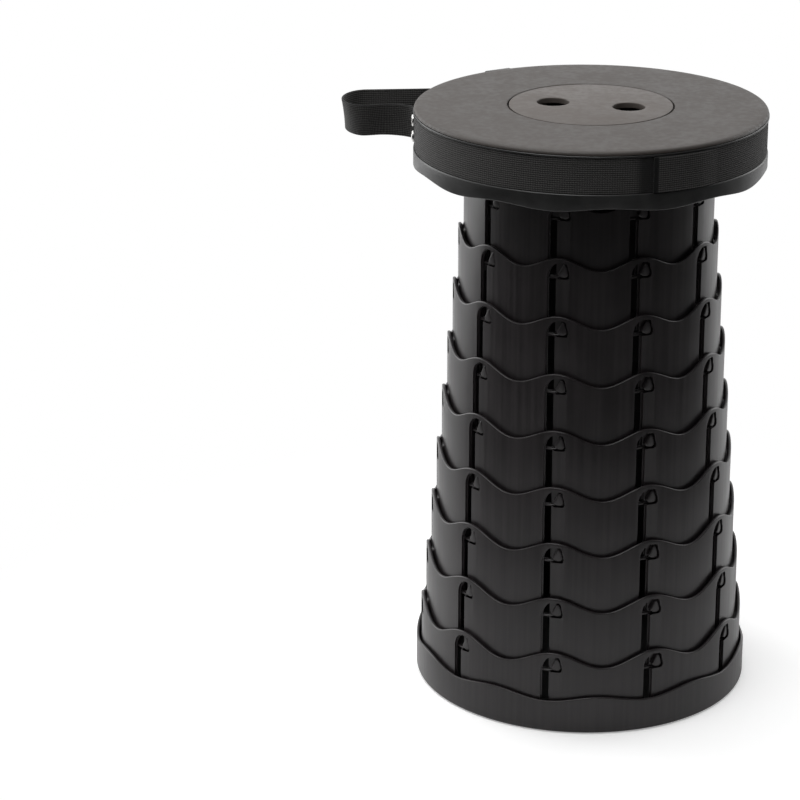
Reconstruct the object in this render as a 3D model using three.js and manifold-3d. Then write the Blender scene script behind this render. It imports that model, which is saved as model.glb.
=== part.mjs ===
// Collapsible telescopic stool, drawn extended. Millimetres, +Z up, floor at z = 0.
// Nine nested tubes and a seat with its own inner tube. Lugs at the foot of each tube hang in
// pockets near the top of the next one out, and a webbing strap runs round the seat as a handle.
import * as THREE from 'three';
import { mergeVertices } from 'three/addons/utils/BufferGeometryUtils.js';
import Module from 'manifold-3d';

const wasm = await Module();
wasm.setup();

const turn = 2 * Math.PI;
const degree = Math.PI / 180;

// Overall heights and the stack
const extendedHeight = 440;
const foldedHeight = 66.5;
const tubeCount = 9;
const travel = (extendedHeight - foldedHeight) / tubeCount;

// Clearances
const fitGap = 0.3;        // between neighbouring pieces
const cutOverrun = 2;      // how far every cut runs past the surface it opens
const weldDepth = 0.6;     // how far a moulded-on lug is rooted in its wall
const mergeDistance = 0.0001; // points nearer than this are one

// Tubes
const outerTubeRadius = 121.2;
const tubeStep = 3.8;      // radius lost from one tube to the next
const tubeWall = 2.4;
const tubeBottom = 4.8;    // lower edge of the outermost tube above the floor
const stageOverlap = 15.5; // crest of a tube down to the lower edge of the tube inside it
const tubeHeight = travel + stageOverlap;
const rimHeight = 1.6;     // guide rim round the foot of each tube
const rimProud = tubeStep - tubeWall - fitGap;
const twistPerTube = -0.4 * degree;
const firstCrestAngle = -99.2 * degree;

// Wavy edges, one wave for each track
const waveCount = 10;
const columnsPerWave = 4;
const columnCount = waveCount * columnsPerWave;
const halfFacet = turn / columnCount / 2;
const waveDepthShare = 0.09; // depth of a tube's wave as a share of its radius

// Tracks: an upright slot with a pocket to its right, and the lug in the pocket
const slotWidth = 4.6;
const archMargin = 4;      // crest down to the top of the track
const archRise = 5.4;      // height of the curved top of the track
const lugOffset = 8.4;     // centre of the slot to centre of the lug
const lugWidth = 5.8;
const lugHeight = 8.4;
const pocketGap = 1.1;     // open line round the lug
const outerSkin = 0.9;     // wall left outside the lug's runway
const pocketRight = lugOffset + lugWidth / 2 + pocketGap;
const slotLeft = -slotWidth / 2;
const trackCentre = (pocketRight + slotLeft) / 2;

// Foot ring and its grip pads
const footWall = 2;
const footInnerRadius = outerTubeRadius + rimProud + fitGap;
const footRadius = footInnerRadius + footWall;
const footTrough = 25;     // low points of the ring's wavy edge, under the slots
const footWaveDepth = 4.4;
const footFlangeWidth = 12.6;
const footCorner = 1.5;
const padCount = 5;
const padProud = 0.8;      // pad below the ring
const padRecess = 1.2;     // depth of the groove that holds the pads
const padMargin = 2.5;     // flange left inside the pad groove
const padWidth = 8.4;
const padColumns = 4;      // facets of the ring that a pad spans, out of every eight

// Seat top, centre cap and the tube under them
const seatRadius = 127.5;
const seatCrown = 1;       // fall of the top from the cap to the lip
const seatPlate = 3.9;
const lipInset = 0.3;
const lipRound = 2.6;
const capRadius = 59.7;
const capThickness = 3.8;
const ledgeThickness = 2.8;
const ledgeShoulder = 2.6; // wall round the cap's recess
const flangeThickness = 3;
const clipRingWall = 2.4;  // ring under the cap that snaps into the ledge
const clipRingDepth = 4;
const fingerHoleRadius = 11.75;
const fingerHoleSpacing = 55.4;
const fingerHoleAngle = -11.5 * degree;
const fingerHoleSides = 20;
const seatSides = 40;

// Screws between the seat top and the seat tube, on a ledge under the cap
const screwCount = 5;
const screwLand = 4.1;     // ledge left on each side of a screw head
const screwShank = 1.75;
const screwHead = 3.6;
const screwHeadHeight = 1.6;
const screwSides = 6;

// Seat rim: side wall with a groove for the strap and a skirt below it
const rimLipHeight = 1.5;  // narrow band above the strap
const strapWidth = 25;
const strapThickness = 1.8;
const grooveSlack = 0.2;   // above and below the strap
const skirtWall = 2.2;
const rimWall = 2;         // behind the groove
const skirtLobeDepth = 43; // top of the seat down to the skirt's low points
const skirtWaveDepth = 4;

// Strap: band in the groove, sewn overlap, handle loop
const handleFrontAngle = 179.6 * degree;
const handleBackAngle = 146 * degree;
const handleReach = 55;    // seat edge to the outer end of the loop
const handleFrontOffset = 14.8; // front strand, measured from the axis
const handleBackTurn = 7.2; // from the back root in to the back strand
const handleTaper = 5.1;   // how far the back strand leans in towards the nose
const handleBend = 9;      // length of the bend where a strand leaves the seat
const handleNose = 17;     // depth of the loop's rounded end
const overlapStart = 290 * degree;
const overlapArc = 24 * degree;
const strapStepAngle = 8 * degree;
const bendSides = 6;       // straight steps along each curve of the loop

// Rivets through the strap's two roots
const rivetSetback = 2.6 * degree;
const rivetSpacing = 11.6;
const rivetShank = 1.7;
const rivetHead = 4.4;
const rivetDome = 1.5;
const domeShares = [[1, 0], [0.9, 0.6], [0.5, 1]]; // of the head's radius and the dome's height
const rivetSides = 8;

// Slider that takes up the strap, a plate with three bars
const sliderAngle = 123 * degree;
const sliderLength = 24;
const sliderHeight = 33;
const sliderThickness = 2.5;
const sliderSideBar = 3.4;
const sliderCentreBar = 4.8;
const sliderCorner = 2.4;
const sliderRampGap = 0.4; // strap ramp to the bars it threads between

// Places worked out from the sizes above
const grooveRadius = seatRadius - strapThickness - fitGap;
const strapMidRadius = seatRadius - strapThickness / 2;
const rimTop = -seatPlate - fitGap;
const grooveTop = rimTop - rimLipHeight;
const strapTop = grooveTop - grooveSlack;
const strapBottom = strapTop - strapWidth;
const grooveBottom = strapBottom - grooveSlack;
const strapMiddle = (strapTop + strapBottom) / 2;
const screwCircleRadius = capRadius - screwLand - screwHead;
const ledgeInnerRadius = screwCircleRadius - screwHead - fitGap - screwLand;
const ledgeTop = -capThickness - fitGap;
const ledgeUnder = ledgeTop - ledgeThickness;
const flangeTop = ledgeUnder - fitGap;
const sliderInner = seatRadius + fitGap;
const handleEnd = seatRadius + handleReach;
const handleBackRoot = strapMidRadius * Math.sin(handleBackAngle) - handleBackTurn;
const handleBackOffset = handleBackRoot - handleTaper;

// Material of one finish
function finish(color, roughness, metalness = 0) {
  return new THREE.MeshStandardMaterial({ color, roughness, metalness });
}

// One named piece
function piece(name, geometry, material) {
  const mesh = new THREE.Mesh(geometry, material);
  mesh.name = name;
  return mesh;
}

// Closed geometry to a solid that can be cut
function toSolid(geometry) {
  const bare = geometry.clone();
  bare.deleteAttribute('normal');
  bare.deleteAttribute('uv');
  const merged = mergeVertices(bare, mergeDistance);
  return new wasm.Manifold(new wasm.Mesh({
    numProp: 3,
    vertProperties: new Float32Array(merged.attributes.position.array),
    triVerts: new Uint32Array(merged.index.array),
  }));
}

// Solid back to a geometry
function toGeometry(solid) {
  const mesh = solid.getMesh();
  const geometry = new THREE.BufferGeometry();
  geometry.setAttribute('position', new THREE.BufferAttribute(new Float32Array(mesh.vertProperties), 3));
  geometry.setIndex(new THREE.BufferAttribute(new Uint32Array(mesh.triVerts), 1));
  geometry.computeVertexNormals();
  return geometry;
}

// Ring round the Z axis. profileAt(angle) gives its closed section as [radius, height] pairs,
// anticlockwise with the radius to the right and the height upwards.
function ringGeometry(profileAt, columns, startAngle) {
  const positions = [];
  const index = [];
  const pointCount = profileAt(startAngle).length;
  for (let column = 0; column < columns; column++) {
    const angle = startAngle + (column / columns) * turn;
    for (const [radius, height] of profileAt(angle)) {
      positions.push(radius * Math.cos(angle), radius * Math.sin(angle), height);
    }
    const here = column * pointCount;
    const next = ((column + 1) % columns) * pointCount;
    for (let point = 0; point < pointCount; point++) {
      const after = (point + 1) % pointCount;
      index.push(here + point, next + point, here + after);
      index.push(here + after, next + point, next + after);
    }
  }
  const geometry = new THREE.BufferGeometry();
  geometry.setAttribute('position', new THREE.Float32BufferAttribute(positions, 3));
  geometry.setIndex(index);
  geometry.computeVertexNormals();
  return geometry;
}

// Point at an angle round the axis
function polar(radius, angle) {
  return new THREE.Vector2(radius * Math.cos(angle), radius * Math.sin(angle));
}

// Frame on the outside of the stool: x to the right, y up, z outwards
function outwardFrame(angle, distance, height = 0) {
  const outward = new THREE.Vector3(Math.cos(angle), Math.sin(angle), 0);
  const up = new THREE.Vector3(0, 0, 1);
  const right = new THREE.Vector3().crossVectors(up, outward);
  const place = outward.clone().multiplyScalar(distance).setZ(height);
  return new THREE.Matrix4().makeBasis(right, up, outward).setPosition(place);
}

// Flat outline given a thickness, from one height to another
function slab(shape, from, to, curveSegments = 2) {
  const options = { depth: to - from, bevelEnabled: false, curveSegments };
  return new THREE.ExtrudeGeometry(shape, options).translate(0, 0, from);
}

// Flat outline pushed outwards from the axis, between two distances
function radialPrism(shape, angle, from, to) {
  return slab(shape, 0, to - from).applyMatrix4(outwardFrame(angle, from));
}

// Rectangle from its lower left corner
function rectangle(left, bottom, width, height) {
  const shape = new THREE.Shape();
  shape.moveTo(left, bottom);
  shape.lineTo(left + width, bottom);
  shape.lineTo(left + width, bottom + height);
  shape.lineTo(left, bottom + height);
  shape.closePath();
  return shape;
}

// 1 at a crest and 0 at a trough, one wave for each track
function waveShare(angle) {
  return (1 + Math.cos(waveCount * angle)) / 2;
}

// Tube sizes, number 1 outermost. The seat's own tube counts as the one after the last.
function tubeRadius(number) {
  return outerTubeRadius - (number - 1) * tubeStep;
}

function crestAngle(number) {
  return firstCrestAngle + (number - 1) * twistPerTube;
}

// Angle of a slot of the outermost tube, where the foot ring and the skirt dip
const dipAngle = crestAngle(1) - trackCentre / outerTubeRadius;

// Upright slot, curved top and pocket, drawn about the crest with the tube's lower edge at 0
function trackShape() {
  const left = slotLeft - trackCentre;
  const right = pocketRight - trackCentre;
  const archTop = tubeHeight - archMargin;
  const shoulder = archTop - archRise;
  const pocketFloor = tubeHeight - stageOverlap + rimHeight - pocketGap;
  const shape = new THREE.Shape();
  shape.moveTo(left, rimHeight);
  shape.lineTo(left + slotWidth, rimHeight);
  shape.lineTo(left + slotWidth, pocketFloor);
  shape.lineTo(right, pocketFloor);
  shape.lineTo(right, shoulder);
  shape.quadraticCurveTo(right, archTop, right - archRise, archTop);
  shape.quadraticCurveTo(left, archTop, left, shoulder);
  shape.closePath();
  return shape;
}

// Teardrop lug about its own centre line, standing on the guide rim
function lugShape() {
  const half = lugWidth / 2;
  const belly = lugHeight / 3;
  const shape = new THREE.Shape();
  shape.moveTo(-half, 0);
  shape.lineTo(half, 0);
  shape.lineTo(half, belly * 2);
  shape.lineTo(0, lugHeight);
  shape.lineTo(-half, belly);
  shape.closePath();
  return shape;
}

// Facet of a tube that holds the pocket: its angle, its distance from the axis for a given
// radius, and the place of the lug along it
function pocketFacet(number) {
  const angle = crestAngle(number) + halfFacet;
  const crestToMiddle = tubeRadius(number) * Math.sin(halfFacet);
  return {
    angle,
    distance: (radius) => radius * Math.cos(halfFacet),
    lugPlace: lugOffset - trackCentre - crestToMiddle,
  };
}

// Solids repeated at every track, joined into one
function atEveryTrack(geometry) {
  const copies = [];
  for (let track = 0; track < waveCount; track++) {
    copies.push(toSolid(geometry.clone().rotateZ((track / waveCount) * turn)));
  }
  return wasm.Manifold.union(copies);
}

// Lugs at the foot of a tube, set in the pockets of the tube outside it
function lugs(number) {
  const facet = pocketFacet(number - 1);
  const from = facet.distance(tubeRadius(number)) - weldDepth;
  const to = facet.distance(tubeRadius(number - 1)) - outerSkin - fitGap;
  const lug = radialPrism(lugShape(), facet.angle, from, to);
  const shift = new THREE.Vector3(facet.lugPlace, rimHeight, 0).applyMatrix4(outwardFrame(facet.angle, 0));
  return atEveryTrack(lug.translate(shift.x, shift.y, shift.z));
}

// Cuts of one tube: the open tracks, and inside the wall a runway under each pocket
function tracks(number) {
  const radius = tubeRadius(number);
  const inside = radius - tubeWall - cutOverrun;
  const track = radialPrism(trackShape(), crestAngle(number), inside, radius + cutOverrun);
  const facet = pocketFacet(number);
  const width = lugWidth + 2 * fitGap;
  const floor = rimHeight - fitGap;
  const height = travel + rimHeight - floor;
  const outline = rectangle(facet.lugPlace - width / 2, floor, width, height);
  const from = facet.distance(radius - tubeWall) - cutOverrun;
  const to = facet.distance(radius) - outerSkin;
  const runway = radialPrism(outline, facet.angle, from, to);
  return atEveryTrack(track).add(atEveryTrack(runway));
}

// One tube, from its lower edge at 0
function tubeGeometry(number) {
  const radius = tubeRadius(number);
  const inner = radius - tubeWall;
  const waveDepth = radius * waveDepthShare;
  const profileAt = (angle) => {
    const top = tubeHeight - waveDepth * (1 - waveShare(angle - crestAngle(number)));
    return [
      [inner, 0],
      [radius + rimProud, 0],
      [radius + rimProud, rimHeight],
      [radius, rimHeight],
      [radius, top],
      [inner, top],
    ];
  };
  let solid = toSolid(ringGeometry(profileAt, columnCount, crestAngle(number)));
  if (number > 1) {
    solid = solid.add(lugs(number));
  }
  return toGeometry(solid.subtract(tracks(number)));
}

// Ring that the outermost tube stands in, with a flange under it and a groove for the pads
function footRingGeometry() {
  const flangeInner = footInnerRadius - footFlangeWidth;
  const padInner = flangeInner + padMargin - fitGap;
  const padOuter = padInner + padWidth + 2 * fitGap;
  const padRoof = padProud + padRecess;
  const flangeTopHeight = tubeBottom - fitGap;
  const profileAt = (angle) => {
    const top = footTrough + footWaveDepth * (1 - waveShare(angle - dipAngle));
    return [
      [flangeInner, padProud],
      [padInner, padProud],
      [padInner, padRoof],
      [padOuter, padRoof],
      [padOuter, padProud],
      [footRadius - footCorner, padProud],
      [footRadius, padProud + footCorner],
      [footRadius, top],
      [footInnerRadius, top],
      [footInnerRadius, flangeTopHeight],
      [flangeInner, flangeTopHeight],
    ];
  };
  return ringGeometry(profileAt, columnCount, dipAngle);
}

// Rubber pad in the foot ring's groove, touching the floor. An arc has two sides a segment.
function padGeometry(number) {
  const inner = footInnerRadius - footFlangeWidth + padMargin;
  const from = dipAngle + ((number - 1) / padCount) * turn;
  const to = from + (padColumns / columnCount) * turn;
  const shape = new THREE.Shape();
  shape.absarc(0, 0, inner + padWidth, from, to, false);
  shape.absarc(0, 0, inner, to, from, true);
  shape.closePath();
  return slab(shape, 0, padProud + padRecess - fitGap, padColumns / 2);
}

// Seat parts below are drawn with the top of the seat at 0

// Tube that carries the seat: lugs at its foot, a flange for the screws at its head
function seatTubeGeometry() {
  const number = tubeCount + 1;
  const radius = tubeRadius(number);
  const inner = radius - tubeWall;
  const foot = tubeBottom + tubeCount * travel - extendedHeight;
  const head = -seatPlate - fitGap;
  const profileAt = () => [
    [inner, foot],
    [radius + rimProud, foot],
    [radius + rimProud, foot + rimHeight],
    [radius, foot + rimHeight],
    [radius, head],
    [inner, head],
    [inner, flangeTop],
    [ledgeInnerRadius, flangeTop],
    [ledgeInnerRadius, flangeTop - flangeThickness],
    [inner, flangeTop - flangeThickness],
  ];
  const ring = toSolid(ringGeometry(profileAt, columnCount, crestAngle(tubeCount)));
  const footLugs = lugs(number).translate([0, 0, foot]);
  return toGeometry(ring.add(footLugs).subtract(screwHoles(screwShank)));
}

// Upright round cuts at the screws, through the ledge and the flange
function screwHoles(radius, from = flangeTop - flangeThickness - cutOverrun, to = ledgeTop + cutOverrun) {
  const holes = [];
  for (let screw = 0; screw < screwCount; screw++) {
    const place = polar(screwCircleRadius, (screw / screwCount) * turn);
    const hole = new THREE.CylinderGeometry(radius + fitGap, radius + fitGap, to - from, screwSides);
    hole.rotateX(turn / 4);
    hole.translate(place.x, place.y, (from + to) / 2);
    holes.push(toSolid(hole));
  }
  return wasm.Manifold.union(holes);
}

// Annular seat top: crowned face, rounded lip and a sunk ledge for the cap
function seatTopGeometry() {
  const recess = capRadius + fitGap;
  const lip = seatRadius - lipInset;
  const profileAt = () => [
    [ledgeInnerRadius, ledgeUnder],
    [recess + ledgeShoulder, ledgeUnder],
    [recess + ledgeShoulder, -seatPlate],
    [lip, -seatPlate],
    [lip, -seatCrown - lipRound / 2],
    [lip - lipRound / 4, -seatCrown - lipRound / 6],
    [lip - lipRound, -seatCrown],
    [recess, 0],
    [recess, ledgeTop],
    [ledgeInnerRadius, ledgeTop],
  ];
  const ring = toSolid(ringGeometry(profileAt, seatSides, 0));
  const counterbore = screwHoles(screwHead, ledgeTop - screwHeadHeight - fitGap);
  return toGeometry(ring.subtract(screwHoles(screwShank)).subtract(counterbore));
}

// Round cap over the screws, with two finger holes and a clip ring below
function centreCapGeometry() {
  const ringOuter = ledgeInnerRadius - fitGap;
  const ringInner = ringOuter - clipRingWall;
  const outline = [
    new THREE.Vector2(0, -capThickness),
    new THREE.Vector2(ringInner, -capThickness),
    new THREE.Vector2(ringInner, -capThickness - clipRingDepth),
    new THREE.Vector2(ringOuter, -capThickness - clipRingDepth),
    new THREE.Vector2(ringOuter, -capThickness),
    new THREE.Vector2(capRadius, -capThickness),
    new THREE.Vector2(capRadius, 0),
    new THREE.Vector2(0, 0),
  ];
  let cap = toSolid(new THREE.LatheGeometry(outline, seatSides).rotateX(turn / 4));
  for (const side of [-1, 1]) {
    const place = polar((side * fingerHoleSpacing) / 2, fingerHoleAngle);
    const depth = capThickness + 2 * cutOverrun;
    const hole = new THREE.CylinderGeometry(fingerHoleRadius, fingerHoleRadius, depth, fingerHoleSides);
    hole.rotateX(turn / 4);
    hole.translate(place.x, place.y, -capThickness / 2);
    cap = cap.subtract(toSolid(hole));
  }
  return toGeometry(cap);
}

// Screw, head down in the ledge and shank into the seat tube's flange
function screwGeometry() {
  const headTop = ledgeTop - fitGap / 2;
  const headUnder = headTop - screwHeadHeight;
  const tip = flangeTop - flangeThickness;
  const outline = [
    new THREE.Vector2(0, tip),
    new THREE.Vector2(screwShank, tip),
    new THREE.Vector2(screwShank, headUnder),
    new THREE.Vector2(screwHead, headUnder),
    new THREE.Vector2(screwHead, headTop),
    new THREE.Vector2(0, headTop),
  ];
  return new THREE.LatheGeometry(outline, screwSides).rotateX(turn / 4);
}

// Side of the seat: narrow band, strap groove and wavy skirt
function seatRimGeometry() {
  const innerRadius = grooveRadius - rimWall;
  const skirtInner = seatRadius - skirtWall;
  const footCrest = footTrough + footWaveDepth;
  const stepBottom = footCrest + fitGap - foldedHeight; // clears the foot ring when folded
  const stepTop = stepBottom + skirtInner - innerRadius;
  const profileAt = (angle) => {
    const bottom = -skirtLobeDepth + skirtWaveDepth * (1 - waveShare(angle - dipAngle));
    return [
      [skirtInner, bottom],
      [seatRadius, bottom],
      [seatRadius, grooveBottom],
      [grooveRadius, grooveBottom],
      [grooveRadius, grooveTop],
      [seatRadius, grooveTop],
      [seatRadius, rimTop],
      [innerRadius, rimTop],
      [innerRadius, stepTop],
      [skirtInner, stepBottom],
    ];
  };
  const ring = toSolid(ringGeometry(profileAt, columnCount, dipAngle));
  return toGeometry(ring.subtract(rivetHoles()));
}

// The four rivets: name, angle and height
function rivetPlaces() {
  const places = [];
  for (const [end, angle] of [
    ['front', handleFrontAngle + rivetSetback],
    ['back', handleBackAngle - rivetSetback],
  ]) {
    places.push({ name: `rivet_${end}_upper`, angle, height: strapMiddle + rivetSpacing / 2 });
    places.push({ name: `rivet_${end}_lower`, angle, height: strapMiddle - rivetSpacing / 2 });
  }
  return places;
}

// Round cuts for the rivets through the strap and the wall behind it
function rivetHoles() {
  const from = grooveRadius - rimWall - cutOverrun;
  const depth = seatRadius + cutOverrun - from;
  const holes = rivetPlaces().map(({ angle, height }) => {
    const radius = rivetShank + fitGap;
    const hole = new THREE.CylinderGeometry(radius, radius, depth, rivetSides).rotateX(turn / 4);
    return toSolid(hole.applyMatrix4(outwardFrame(angle, from + depth / 2, height)));
  });
  return wasm.Manifold.union(holes);
}

// Domed rivet, its head outside the strap
function rivetGeometry({ angle, height }) {
  const shankLength = seatRadius - (grooveRadius - rimWall) + fitGap;
  const outline = [
    new THREE.Vector2(0, -shankLength),
    new THREE.Vector2(rivetShank, -shankLength),
    new THREE.Vector2(rivetShank, 0),
    ...domeShares.map(([across, up]) => new THREE.Vector2(rivetHead * across, rivetDome * up)),
    new THREE.Vector2(0, rivetDome),
  ];
  const rivet = new THREE.LatheGeometry(outline, rivetSides).rotateX(turn / 4);
  return rivet.applyMatrix4(outwardFrame(angle, seatRadius + fitGap, height));
}

// Closed outline of a ribbon seen edge on, half its thickness to each side of a run of points
function ribbonShape(points, thickness) {
  const sides = [[], []];
  points.forEach((point, place) => {
    const before = points[Math.max(place - 1, 0)];
    const after = points[Math.min(place + 1, points.length - 1)];
    const arriving = point.clone().sub(place > 0 ? before : point);
    const leaving = after.clone().sub(place < points.length - 1 ? point : after);
    const inward = (arriving.lengthSq() > 0 ? arriving : leaving).clone().normalize();
    const outward = (leaving.lengthSq() > 0 ? leaving : arriving).clone().normalize();
    const along = inward.clone().add(outward).normalize();
    const reach = thickness / 2 / along.dot(inward);
    const across = new THREE.Vector2(-along.y, along.x).multiplyScalar(reach);
    sides[0].push(point.clone().add(across));
    sides[1].unshift(point.clone().sub(across));
  });
  return new THREE.Shape(sides[0].concat(sides[1]));
}

// Strap of a given run of points, standing at the strap's height
function strapGeometry(points) {
  const shape = ribbonShape(points, strapThickness);
  const strap = new THREE.ExtrudeGeometry(shape, { depth: strapWidth, bevelEnabled: false });
  return strap.translate(0, 0, strapBottom);
}

// Points round the groove, evenly spaced
function arcPoints(radius, from, to) {
  const steps = Math.ceil((to - from) / strapStepAngle);
  const points = [];
  for (let step = 0; step <= steps; step++) {
    points.push(polar(radius, from + ((to - from) * step) / steps));
  }
  return points;
}

// Where the strap climbs over the slider's centre bar, from right to left seen from outside
function sliderPoints() {
  const outside = new THREE.Vector2(Math.cos(sliderAngle), Math.sin(sliderAngle));
  const right = new THREE.Vector2(-outside.y, outside.x);
  const rampFoot = sliderLength / 2 - sliderSideBar - sliderRampGap;
  const rampHead = sliderCentreBar / 2 + sliderRampGap;
  const low = Math.sqrt(strapMidRadius ** 2 - rampFoot ** 2);
  const high = sliderInner + sliderThickness + fitGap + strapThickness / 2;
  const run = [
    [-rampFoot, low],
    [-rampHead, high],
    [rampHead, high],
    [rampFoot, low],
  ];
  return run.map(([across, distance]) => {
    const point = outside.clone().multiplyScalar(distance);
    return point.add(right.clone().multiplyScalar(across));
  });
}

// Band in the groove, from the front root round to the back root
function bandGeometry() {
  const gapAngle = fitGap / strapMidRadius;
  const half = sliderLength / 2 / strapMidRadius;
  const before = arcPoints(strapMidRadius, handleFrontAngle + gapAngle, turn + sliderAngle - half);
  const after = arcPoints(strapMidRadius, turn + sliderAngle + half, turn + handleBackAngle - gapAngle);
  const band = strapGeometry([...before, ...sliderPoints(), ...after]);
  return toGeometry(toSolid(band).subtract(rivetHoles()));
}

// Second layer where the strap's end is sewn down over itself
function overlapGeometry() {
  const radius = strapMidRadius + strapThickness + fitGap;
  return strapGeometry(arcPoints(radius, overlapStart, overlapStart + overlapArc));
}

// Handle loop, from the front root out and round to the back root
function handleGeometry() {
  const front = polar(strapMidRadius, handleFrontAngle);
  const back = polar(strapMidRadius, handleBackAngle);
  const noseX = -handleEnd + strapThickness / 2 + handleNose;
  const middle = (handleFrontOffset + handleBackOffset) / 2;
  const half = (handleBackOffset - handleFrontOffset) / 2;
  const tangentX = Math.sin(handleBackAngle);
  const tangentY = -Math.cos(handleBackAngle);
  const toCorner = (back.y - handleBackRoot) / tangentY;
  const corner = new THREE.Vector2(back.x - tangentX * toCorner, handleBackRoot);
  const run = new THREE.Path();
  run.moveTo(front.x, front.y);
  run.quadraticCurveTo(front.x, handleFrontOffset, front.x - handleBend, handleFrontOffset);
  run.lineTo(noseX, handleFrontOffset);
  run.absellipse(noseX, middle, handleNose, half, -turn / 4, (-3 * turn) / 4, true, 0);
  run.lineTo(corner.x - handleBend, handleBackRoot);
  run.quadraticCurveTo(corner.x, corner.y, back.x, back.y);
  return strapGeometry(distinctPoints(run.getPoints(bendSides)));
}

// A run of points without the doubled ones where two stretches meet
function distinctPoints(points) {
  return points.filter((point, place) => place === 0 || point.distanceTo(points[place - 1]) > fitGap);
}

// Slider plate with its three bars, flat against the side of the seat
function sliderGeometry() {
  const frame = new THREE.Shape();
  const right = sliderLength / 2;
  const top = sliderHeight / 2;
  frame.moveTo(-right + sliderCorner, -top);
  frame.lineTo(right - sliderCorner, -top);
  frame.quadraticCurveTo(right, -top, right, -top + sliderCorner);
  frame.lineTo(right, top - sliderCorner);
  frame.quadraticCurveTo(right, top, right - sliderCorner, top);
  frame.lineTo(-right + sliderCorner, top);
  frame.quadraticCurveTo(-right, top, -right, top - sliderCorner);
  frame.lineTo(-right, -top + sliderCorner);
  frame.quadraticCurveTo(-right, -top, -right + sliderCorner, -top);
  const windowWidth = (sliderLength - sliderCentreBar) / 2 - sliderSideBar;
  const windowHeight = strapWidth + 2 * sliderRampGap;
  let plate = toSolid(slab(frame, 0, sliderThickness));
  for (const left of [-right + sliderSideBar, sliderCentreBar / 2]) {
    const window = rectangle(left, -windowHeight / 2, windowWidth, windowHeight);
    plate = plate.subtract(toSolid(slab(window, -cutOverrun, sliderThickness + cutOverrun)));
  }
  return toGeometry(plate).applyMatrix4(outwardFrame(sliderAngle, sliderInner, strapMiddle));
}

// Colours and finishes
const tubePlastic = () => finish(0x272525, 0.4);
const seatPlastic = () => finish(0x3b352e, 0.55);
const capPlastic = () => finish(0x595048, 0.55);
const rimPlastic = () => finish(0x262625, 0.4);
const webbing = () => finish(0x302f2f, 0.9);
const rubber = () => finish(0x141414, 0.95);
const steel = () => finish(0x9a9a98, 0.35, 1);
const nickel = () => finish(0xd8d8d4, 0.25, 1);
const sliderPlastic = () => finish(0x171717, 0.4);

// Base: foot ring, pads and the outermost tube, with the other tubes standing in it
const column = new THREE.Group();
column.add(piece('foot_ring', footRingGeometry(), tubePlastic()));
for (let number = 1; number <= padCount; number++) {
  column.add(piece(`grip_pad_${number}`, padGeometry(number), rubber()));
}
for (let number = 1; number <= tubeCount; number++) {
  const tube = piece(`tube_${number}`, tubeGeometry(number), tubePlastic());
  tube.position.z = tubeBottom + (number - 1) * travel;
  column.add(tube);
}

// Seat and everything that rides on it
const seat = new THREE.Group();
seat.position.z = extendedHeight;
seat.add(piece('seat_tube', seatTubeGeometry(), tubePlastic()));
seat.add(piece('seat_top', seatTopGeometry(), seatPlastic()));
seat.add(piece('seat_rim', seatRimGeometry(), rimPlastic()));
seat.add(piece('centre_cap', centreCapGeometry(), capPlastic()));
for (let number = 1; number <= screwCount; number++) {
  const screw = piece(`seat_screw_${number}`, screwGeometry(), steel());
  const place = polar(screwCircleRadius, ((number - 1) / screwCount) * turn);
  screw.position.set(place.x, place.y, 0);
  seat.add(screw);
}
seat.add(piece('strap_band', bandGeometry(), webbing()));
seat.add(piece('strap_overlap', overlapGeometry(), webbing()));
seat.add(piece('strap_handle', handleGeometry(), webbing()));
seat.add(piece('strap_slider', sliderGeometry(), sliderPlastic()));
for (const place of rivetPlaces()) {
  seat.add(piece(place.name, rivetGeometry(place), nickel()));
}
column.add(seat);

// The origin is the centre of the footprint with the handle in it, so the column stands beside it
const stool = new THREE.Group();
column.position.x = (handleEnd - seatRadius) / 2;
stool.add(column);

export default stool;
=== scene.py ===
# Collapsible telescopic stool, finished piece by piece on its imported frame. Metres, +Z up.
from math import atan2, ceil, cos, hypot, pi, radians, sin, sqrt

import bpy
from mathutils import Matrix, Vector
from mathutils.kdtree import KDTree


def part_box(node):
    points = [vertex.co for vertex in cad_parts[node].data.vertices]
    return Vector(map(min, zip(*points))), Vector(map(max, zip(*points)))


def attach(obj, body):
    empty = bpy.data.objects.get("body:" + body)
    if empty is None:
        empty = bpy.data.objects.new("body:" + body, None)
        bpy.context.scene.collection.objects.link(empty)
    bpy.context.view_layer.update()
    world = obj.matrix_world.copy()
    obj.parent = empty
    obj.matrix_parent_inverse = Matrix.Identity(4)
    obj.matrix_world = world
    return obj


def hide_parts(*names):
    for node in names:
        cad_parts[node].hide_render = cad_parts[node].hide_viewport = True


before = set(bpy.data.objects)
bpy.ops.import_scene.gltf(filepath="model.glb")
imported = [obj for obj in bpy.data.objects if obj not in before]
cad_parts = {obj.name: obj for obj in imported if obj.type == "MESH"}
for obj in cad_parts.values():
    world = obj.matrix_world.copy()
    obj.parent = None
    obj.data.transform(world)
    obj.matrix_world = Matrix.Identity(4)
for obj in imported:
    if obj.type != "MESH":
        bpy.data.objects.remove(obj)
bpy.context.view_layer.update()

turn = 2 * pi
weldReach = 0.000001  # points nearer than this are one
cutReach = 0.002      # how far a cut runs past the surface it opens
fitGap = 0.0003       # between neighbouring pieces
edgeReach = 1.5       # a rounded edge's points lie within this many roundings of its end
facing = 0.9          # least part of a normal towards a side that counts as facing it


def topOf(node):
    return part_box(node)[1].z


def footOf(node):
    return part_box(node)[0].z


seatLow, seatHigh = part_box("seat_top")
axisX = (seatLow.x + seatHigh.x) / 2
axisPoint = Vector((axisX, 0, 0))


# Farthest that a node of the frame reaches from the stool's axis
def reachOf(node):
    return max(hypot(point.co.x - axisX, point.co.y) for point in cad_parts[node].data.vertices)


def pickNothing():
    bpy.ops.object.select_all(action="DESELECT")


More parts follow.
